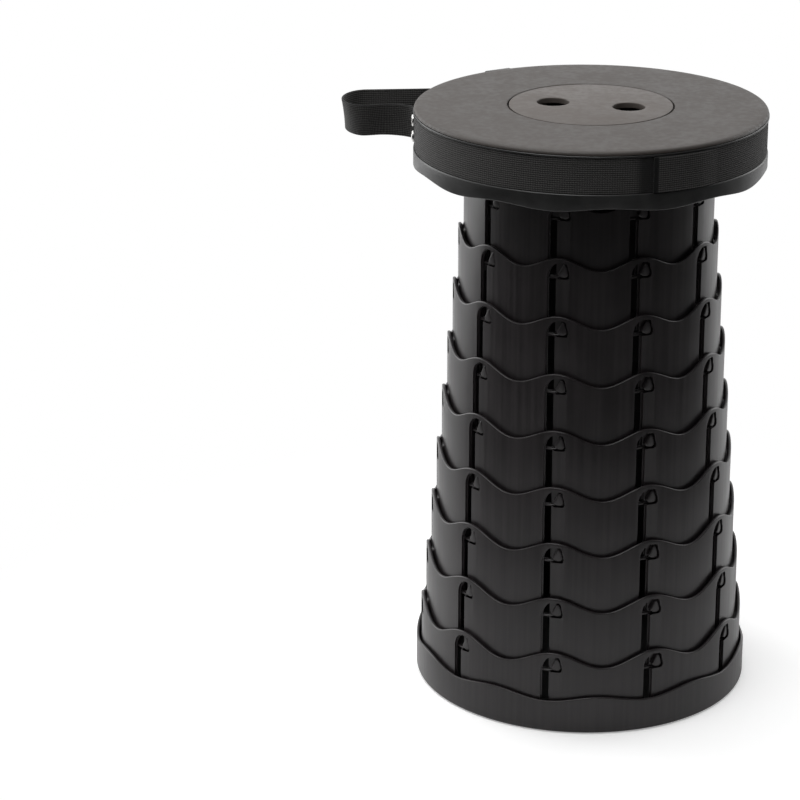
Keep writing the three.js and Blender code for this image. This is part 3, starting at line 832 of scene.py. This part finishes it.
# Side wall of the seat: a groove for the strap, a sill below it and a wavy skirt
def makeSeatRim():
    s = seatRim
    top = topOf("seat_rim")
    bottom = footOf("seat_rim")
    radius = reachOf("seat_rim")
    groove = radius - s["strapThickness"] - s["gap"]
    inner = groove - s["wall"]
    skirtInner = radius - s["skirtWall"]
    grooveTop = top - s["band"]
    grooveBottom = grooveTop - s["strapWidth"] - 2 * s["slack"]
    stepBottom = footOf("foot_ring") + s["stepHeight"] + tube["count"] * tube["travel"]
    stepTop = stepBottom + (skirtInner - inner)
    edge = s["edge"]
    soft = s["bandSoft"]
    high = bottom - s["hem"] + s["waveDepth"]
    section = roundCorner((skirtInner + edge, high + edge), edge, 180, 270, 3)
    section += roundCorner((radius - edge, high + edge), edge, 270, 360, 3)
    section += roundCorner((radius - s["sill"], grooveBottom - s["sill"]), s["sill"], 0, 90, 5)
    section += [(groove, grooveBottom), (groove, grooveTop), (radius - soft, grooveTop)]
    section += [(radius, grooveTop + soft), (radius, top - soft), (radius - soft, top)]
    section += [(inner, top), (inner, stepTop), (skirtInner, stepBottom)]
    piece = spinRing("seatRim", section, s["columns"])
    for point in piece.data.vertices:
        if point.co.z < high + edge * edgeReach:
            angle = atan2(point.co.y, point.co.x - axisX)
            point.co.z -= s["waveDepth"] * waveShare(angle - dipAngle)
    smoothen(piece)
    settle(piece, "rim_plastic", "seat", "seat_rim")


makeSeatRim()

strap = dict(
    width=0.025, thickness=0.0013, rows=34, ribHeight=0.00012, edge=0.00035, depth=0.00135,
    mapStart=0.1,                         # the webbing's map starts clear of the sewn end's zero
    front=179.6, back=146.0,              # where the loop's ends lie, in degrees
    frontOffset=0.0148, frontBend=0.020, noseFront=0.0102, backTurn=0.0072, taper=0.0051, backBend=0.009,
    nose=0.017, noseSteps=24, lean=0.0095, tuck=0.0008, sag=0.0003,
    overlapStart=290.0, overlapArc=24.0,  # degrees
    feather=0.016, thinnest=0.05,
    bandSpacing=0.0024, bandArcSpacing=0.003, handleSpacing=0.0016, overlapSpacing=0.002,
)
strapOuter = reachOf("seat_rim")
strapMid = strapOuter - strap["depth"]
strapFace = strapMid + strap["thickness"] / 2
strapLow = footOf("strap_handle")
lapPlace = strap["mapStart"] + strapMid * radians(strap["overlapStart"] - strap["front"])
finishes["webbing"] = makeWebbing(lapPlace)


# Plan point round the stool's axis
def around(radius, angle):
    return (axisX + radius * cos(angle), radius * sin(angle))


def arcPoints(radius, start, end, spacing):
    steps = ceil(radius * abs(end - start) / spacing)
    return [around(radius, start + (end - start) * step / steps) for step in range(steps + 1)]


# How far each plan point of a run lies along it
def lengthsAlong(points):
    lengths = [0.0]
    for here, there in zip(points, points[1:]):
        lengths.append(lengths[-1] + hypot(there[0] - here[0], there[1] - here[1]))
    return lengths


# A run of plan points made evenly spaced
def evenOut(points, spacing):
    lengths = lengthsAlong(points)
    steps = ceil(lengths[-1] / spacing)
    even = []
    place = 0
    for step in range(steps + 1):
        wanted = lengths[-1] * step / steps
        while place < len(points) - 2 and lengths[place + 1] < wanted:
            place += 1
        share = (wanted - lengths[place]) / (lengths[place + 1] - lengths[place])
        here = points[place]
        there = points[place + 1]
        even.append((here[0] + share * (there[0] - here[0]), here[1] + share * (there[1] - here[1])))
    return even


# Webbing along a run of plan points: raised in rows, ribbed, hung, thickened and mapped
def makeStrap(name, run, node, mapStart=strap["mapStart"], hang=None, trim=None):
    s = strap
    base = strapLow
    sheet = drawLine(name, [(x, y, base) for x, y in run])
    editAll(sheet)
    rise = {"value": (0, 0, s["width"] / s["rows"])}
    for row in range(s["rows"]):
        bpy.ops.mesh.extrude_region_move(TRANSFORM_OT_translate=rise)
    leaveEdit()
    weld(sheet)
    normals = runNormals(run)
    tree = KDTree(len(run))
    for place, (x, y) in enumerate(run):
        tree.insert((x, y, 0), place)
    tree.balance()
    columns = [tree.find((point.co.x, point.co.y, 0))[1] for point in sheet.data.vertices]
    lengths = lengthsAlong(run)
    layer = sheet.data.uv_layers.new(name="strapMap")
    for corner in sheet.data.loops:
        point = sheet.data.vertices[corner.vertex_index]
        layer.data[corner.index].uv = (mapStart + lengths[columns[corner.vertex_index]], point.co.z - base)
    for point in sheet.data.vertices:
        row = round((point.co.z - base) / s["width"] * s["rows"])
        side = 1 if row % 2 else -1
        nx, ny = normals[columns[point.index]]
        point.co.x += side * s["ribHeight"] / 2 * nx
        point.co.y += side * s["ribHeight"] / 2 * ny
        if hang:
            inwards, upwards = hang(lengths[columns[point.index]] / lengths[-1], row / s["rows"])
            point.co += Vector((inwards * nx, inwards * ny, upwards))
    applyModifier(sheet, "SOLIDIFY", thickness=s["thickness"], offset=0, use_even_offset=True)
    softenEdges(sheet, s["edge"], degrees=60)
    if trim:
        for point in sheet.data.vertices:
            trim(point)
    smoothen(sheet, degrees=50)
    settle(sheet, "webbing", "seat", node)


# Sideways direction at each plan point of a run
def runNormals(run):
    normals = []
    for place in range(len(run)):
        before = run[max(place - 1, 0)]
        after = run[min(place + 1, len(run) - 1)]
        along = Vector((after[0] - before[0], after[1] - before[1])).normalized()
        normals.append((along.y, -along.x))
    return normals


slider = dict(angle=123.0, length=0.024, height=0.033, thickness=0.0025, corner=0.0024, edge=0.0005,
              bar=0.0034, centreBar=0.0048, rampGap=0.0004, climb=0.0009, footShare=0.8, headShare=1.2)


# Where the strap climbs over the slider's centre bar
def sliderRun():
    s = slider
    angle = radians(s["angle"])
    foot = s["length"] / 2 - s["bar"] - s["rampGap"]
    head = s["centreBar"] / 2 + s["rampGap"]
    low = sqrt(strapMid ** 2 - foot ** 2)
    high = strapOuter + 2 * fitGap + s["thickness"] + s["climb"]
    rampFoot = foot * s["footShare"]
    rampHead = head * s["headShare"]
    outside = Vector((cos(angle), sin(angle)))
    right = Vector((-outside.y, outside.x))
    run = [(-foot, low), (-rampFoot, low)] + bendTo((-rampFoot, low), (-rampHead, high), (0, high), 5)
    run += bendTo((0, high), (rampHead, high), (rampFoot, low), 5) + [(foot, low)]
    return [tuple(outside * distance + right * across + Vector((axisX, 0))) for across, distance in run]


def bandRun():
    s = strap
    gap = fitGap / strapMid
    half = slider["length"] / 2 / strapMid
    middle = turn + radians(slider["angle"])
    before = arcPoints(strapMid, radians(s["front"]) + gap, middle - half, s["bandArcSpacing"])
    after = arcPoints(strapMid, middle + half, turn + radians(s["back"]) - gap, s["bandArcSpacing"])
    return evenOut(before + sliderRun() + after, s["bandSpacing"])


# A gentle double bend between two places, level at both ends
def swerve(start, end):
    middle = ((start[0] + end[0]) / 2, (start[1] + end[1]) / 2)
    quarter = (end[0] - start[0]) / 4
    points = bendTo(start, (start[0] + quarter, start[1]), middle, 6)
    return points + bendTo(middle, (end[0] - quarter, end[1]), end, 6)


def handleRun():
    s = strap
    front = around(strapMid, radians(s["front"]))
    back = around(strapMid, radians(s["back"]))
    backRoot = back[1] - s["backTurn"]
    backOffset = backRoot - s["taper"]
    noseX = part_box("strap_handle")[0].x + s["thickness"] / 2 + s["nose"]
    middle = (s["noseFront"] + backOffset) / 2
    half = (backOffset - s["noseFront"]) / 2
    tangent = (sin(radians(s["back"])), -cos(radians(s["back"])))
    reach = (back[1] - backRoot) / tangent[1]
    corner = (back[0] - tangent[0] * reach, backRoot)
    run = [front]
    run += bendTo(front, (front[0], s["frontOffset"]), (front[0] - s["frontBend"], s["frontOffset"]), 12)
    run += swerve(run[-1], (noseX, s["noseFront"]))
    for step in range(1, s["noseSteps"] + 1):
        angle = -turn / 4 - turn / 2 * step / s["noseSteps"]
        run.append((noseX + s["nose"] * cos(angle), middle + half * sin(angle)))
    run.append((corner[0] - s["backBend"], backRoot))
    run += bendTo(run[-1], corner, back, 12)
    return evenOut(run, s["handleSpacing"])


# How far the loop tucks inwards and sags at a share of its length and of its height
def hangHandle(share, height):
    front = strap["lean"] * max(0.0, sin(turn * share))
    nose = strap["tuck"] * sin(turn / 2 * share)
    return (front + nose) * (1 - height), -strap["sag"] * sin(turn / 2 * share)


overlapRadius = strapMid + strap["thickness"] + fitGap
overlapStart = radians(strap["overlapStart"])
overlapEnd = overlapStart + radians(strap["overlapArc"])


# The sewn end thins out until it lies in the band
def featherEnd(point):
    s = strap
    across = point.co.x - axisX
    radius = hypot(across, point.co.y)
    left = (overlapEnd - atan2(point.co.y, across) % turn) * overlapRadius
    share = max(s["thinnest"], min(1.0, left / s["feather"]))
    flat = strapFace + fitGap / 4
    wanted = flat + (radius - flat) * share
    point.co.x = axisX + across * wanted / radius
    point.co.y *= wanted / radius


makeStrap("strapBand", bandRun(), "strap_band")
overlapRun = arcPoints(overlapRadius, overlapStart, overlapEnd, strap["overlapSpacing"])
makeStrap("strapOverlap", overlapRun, "strap_overlap", mapStart=0.0, trim=featherEnd)
makeStrap("strapHandle", handleRun(), "strap_handle", hang=hangHandle)


# Three-bar slider: a rounded plate with two windows
def makeSlider():
    s = slider
    right = s["length"] / 2
    top = s["height"] / 2
    corner = s["corner"]
    middle = (footOf("strap_slider") + topOf("strap_slider")) / 2
    outline = []
    wide = right - corner
    high = top - corner
    for quarter, centre in enumerate(((wide, high), (-wide, high), (-wide, -high), (wide, -high))):
        outline += roundCorner(centre, corner, 90 * quarter, 90 * quarter + 90, 5)
    inner = strapOuter + fitGap
    outer = inner + s["thickness"]
    plate = pushOutline("strapSlider", raised(outline, middle), inner, outer)
    window = (s["length"] - s["centreBar"]) / 2 - s["bar"]
    tall = strap["width"] / 2 + s["rampGap"]
    for left in (-right + s["bar"], s["centreBar"] / 2):
        hole = [(left, -tall), (left + window, -tall), (left + window, tall), (left, tall)]
        combine(plate, pushOutline("sliderWindow", raised(hole, middle), inner - cutReach, outer + cutReach))
    softenEdges(plate, s["edge"], segments=3)
    turnPiece(plate, radians(s["angle"]) + turn / 4)
    smoothen(plate)
    settle(plate, "slider_plastic", "seat", "strap_slider")


makeSlider()

rivet = dict(shank=0.0017, tail=0.0044, head=0.0044, headSoft=0.0003, headWall=0.0004, dome=0.0012,
             domeShare=0.85, sides=40, setback=2.6)  # setback in degrees


# Domed rivets through the strap at the loop's two ends
def makeRivets():
    s = rivet
    base = strapFace + fitGap / 2
    shoulder = strapOuter + fitGap
    tail = shoulder - s["tail"]
    crown = shoulder + s["dome"]
    head = s["head"]
    section = [(0, tail), (s["shank"], tail), (s["shank"], base), (head - s["headSoft"], base)]
    section += bendTo(section[-1], (head, base), (head, base + s["headWall"]), 3)
    section += bendTo((head, shoulder), (head * s["domeShare"], crown), (0, crown), 8)
    for end, angle in (("front", strap["front"] + s["setback"]), ("back", strap["back"] - s["setback"])):
        for level in ("upper", "lower"):
            name = f"rivet_{end}_{level}"
            height = (footOf(name) + topOf(name)) / 2
            points = [(axisX, -distance, height + across) for across, distance in section]
            piece = drawLine(f"rivet{end.title()}{level.title()}", points)
            editAll(piece)
            centre = (axisX, 0, height)
            bpy.ops.mesh.spin(steps=s["sides"], angle=turn, center=centre, axis=(0, 1, 0))
            leaveEdit()
            weld(piece)
            turnPiece(piece, radians(angle) + turn / 4)
            smoothen(piece, degrees=40)
            settle(piece, "rivet_nickel", "seat", name)


makeRivets()

seatScrew = dict(count=5, shank=0.00175, tip=0.0008, tipShare=0.6, head=0.0036, headHeight=0.0016,
                 headWall=0.0008, domeShare=0.9, sides=32, slotLength=0.0036, slotWidth=0.0008,
                 slotDepth=0.001)


# Screws with domed heads and crossed slots, under the cap
def makeScrews():
    s = seatScrew
    shank = s["shank"]
    slot = (s["slotLength"], s["slotWidth"], 2 * s["slotDepth"])
    for number in range(1, s["count"] + 1):
        name = f"seat_screw_{number}"
        low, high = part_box(name)
        centre = ((low.x + high.x) / 2, (low.y + high.y) / 2)
        under = high.z - s["headHeight"]
        section = [(0, low.z), (shank * s["tipShare"], low.z), (shank, low.z + s["tip"]), (shank, under)]
        section += [(s["head"], under), (s["head"], under + s["headWall"])]
        section += bendTo(section[-1], (s["head"] * s["domeShare"], high.z), (0, high.z), 6)
        piece = spinPost(f"seatScrew{number}", section, centre, s["sides"])
        for angle in (0, turn / 4):
            pickNothing()
            head = (*centre, high.z)
            bpy.ops.mesh.primitive_cube_add(size=1, location=head, rotation=(0, 0, angle), scale=slot)
            bpy.ops.object.transform_apply()
            combine(piece, bpy.context.object)
        smoothen(piece, degrees=35)
        settle(piece, "screw_steel", "seat", name)


makeScrews()

# Distance and height in metres, angles in degrees, lens and sensor in millimetres
cameraPlace = dict(distance=2.018, height=0.953, pitch=20.15, yaw=-3.90, roll=-0.10, lens=129.7, sensor=36.0)


def makeCamera():
    s = cameraPlace
    data = bpy.data.cameras.new("camera")
    data.lens = s["lens"]
    data.sensor_width = s["sensor"]
    camera = bpy.data.objects.new("camera", data)
    bpy.context.scene.collection.objects.link(camera)
    pitch = radians(s["pitch"])
    yaw = radians(s["yaw"])
    roll = radians(s["roll"])
    ahead = Vector((sin(yaw) * cos(pitch), cos(yaw) * cos(pitch), -sin(pitch)))
    level = Vector((cos(yaw), -sin(yaw), 0))
    above = level.cross(ahead)
    right = cos(roll) * level + sin(roll) * above
    up = -sin(roll) * level + cos(roll) * above
    frameOfView = Matrix((right, up, -ahead)).transposed().to_4x4()
    camera.matrix_world = Matrix.Translation((axisX, -s["distance"], s["height"])) @ frameOfView
    bpy.context.scene.camera = camera
    print("camera placed")


makeCamera()

# dim and shade are the floor's painted shade: in front for all but the camera, and inside the column
stage = dict(reach=6.0, sides=96, rough=0.9, level=0.90, dim=0.05, dimFrom=0.13, dimTo=0.95,
             ahead=-0.15, behind=1.0, lift=0.34, fadeFrom=0.22, fadeTo=0.50, shade=0.02)


# Pale floor: white to the camera away from the stool's shadow, with painted shade that dims it in front for
# all but the camera and paints it dark inside the column
def makeFloor():
    s = stage
    pickNothing()
    bpy.ops.mesh.primitive_circle_add(vertices=s["sides"], radius=s["reach"], fill_type="NGON")
    floor = bpy.context.object
    floor.name = "floor"
    material, maker, shader = newFinish("floorPaint", Roughness=s["rough"])
    place = maker.place()
    depth = maker.node("ShaderNodeSeparateXYZ", {}, {0: place}, 1)
    away = maker.node("ShaderNodeVectorMath", {"operation": "LENGTH"}, {0: place}, 1)
    ring = reachOf("foot_ring")
    # Painted shade: inside the foot ring the floor is painted nearly black, standing in for the dark inside
    # the column
    outside = maker.between(away, ring - footRing["wall"] * 2, ring - footRing["wall"])
    seen = maker.node("ShaderNodeLightPath", {}, {}, "Is Camera Ray")
    # Painted shade: the floor is darker in front and farther out, for every ray but the camera's
    front = 1 - maker.between(depth / away, s["ahead"], s["behind"])
    paintedFrontShade = front * maker.between(away, s["dimFrom"], s["dimTo"]) * (1 - seen)
    paint = maker.mixColour(paintedFrontShade, grey(s["level"]), grey(s["dim"]))
    maker.feed(shader.inputs["Base Color"], maker.mixColour(outside, grey(s["shade"]), paint))
    lift = maker.node("ShaderNodeEmission", {}, {"Color": grey(1), "Strength": s["lift"] * seen * outside})
    white = maker.node("ShaderNodeEmission", {}, {"Color": grey(1), "Strength": 1.0})
    painted = Wire(maker, shader.outputs[0])
    lifted = maker.node("ShaderNodeAddShader", {}, {0: painted, 1: lift})
    far = maker.between(away, s["fadeFrom"], s["fadeTo"])
    mixed = maker.node("ShaderNodeMixShader", {}, {0: seen * far, 1: lifted, 2: white})
    maker.feed(material.node_tree.nodes["Material Output"].inputs["Surface"], mixed)
    floor.data.materials.append(material)
    print("floor laid")


makeFloor()

studio = dict(front=0.04, back=1.0, towards=(-0.22, 0.97, 0.0), dark=-0.45, bright=0.55)


# White to the camera and to what shows through, and otherwise bright behind and left, dim in front
def makeWorld():
    s = studio
    world = bpy.data.worlds.new("studio")
    bpy.context.scene.world = world
    world.use_nodes = True
    tree = world.node_tree
    maker = NodeMaker(tree)
    way = maker.node("ShaderNodeTexCoord", {}, {}, "Generated")
    depth = maker.node("ShaderNodeVectorMath", {"operation": "DOT_PRODUCT"}, {0: way, 1: s["towards"]}, 1)
    behind = maker.between(depth, s["dark"], s["bright"])
    light = s["front"] + (s["back"] - s["front"]) * behind
    seen = maker.node("ShaderNodeLightPath", {}, {}, "Is Camera Ray")
    clear = maker.node("ShaderNodeLightPath", {}, {}, "Is Transmission Ray")
    white = seen.most(clear)
    strength = white + (1 - white) * light
    background = tree.nodes["Background"]
    maker.feed(background.inputs["Color"], grey(1))
    maker.feed(background.inputs["Strength"], strength)
    print("world lit")


makeWorld()

# Soft lamps, with their powers in watts
panels = dict(
    leftPanel=dict(place=(-1.5, 0.9, 0.8), target=(0, 0, 0.25), width=1.3, height=1.6, power=14),
    rightPanel=dict(place=(1.5, 1.1, 0.8), target=(0, 0, 0.25), width=1.0, height=1.4, power=7),
    topPanel=dict(place=(-0.2, 0.3, 2.2), target=(0, 0, 0.2), width=1.6, height=1.6, power=8),
    keyPanel=dict(place=(-0.45, -0.75, 2.0), target=(0, 0, 0.2), width=1.4, height=1.2, power=17.5),
)


def hangPanel(name, s):
    data = bpy.data.lights.new(name, "AREA")
    data.shape = "RECTANGLE"
    data.size = s["width"]
    data.size_y = s["height"]
    data.energy = s["power"]
    lamp = bpy.data.objects.new(name, data)
    bpy.context.scene.collection.objects.link(lamp)
    lamp.location = s["place"]
    aim = Vector(s["target"]) - Vector(s["place"])
    lamp.rotation_euler = aim.to_track_quat("-Z", "Y").to_euler()
    print("hung", name)


for name, panel in panels.items():
    hangPanel(name, panel)

bpy.context.scene.view_settings.view_transform = "Standard"
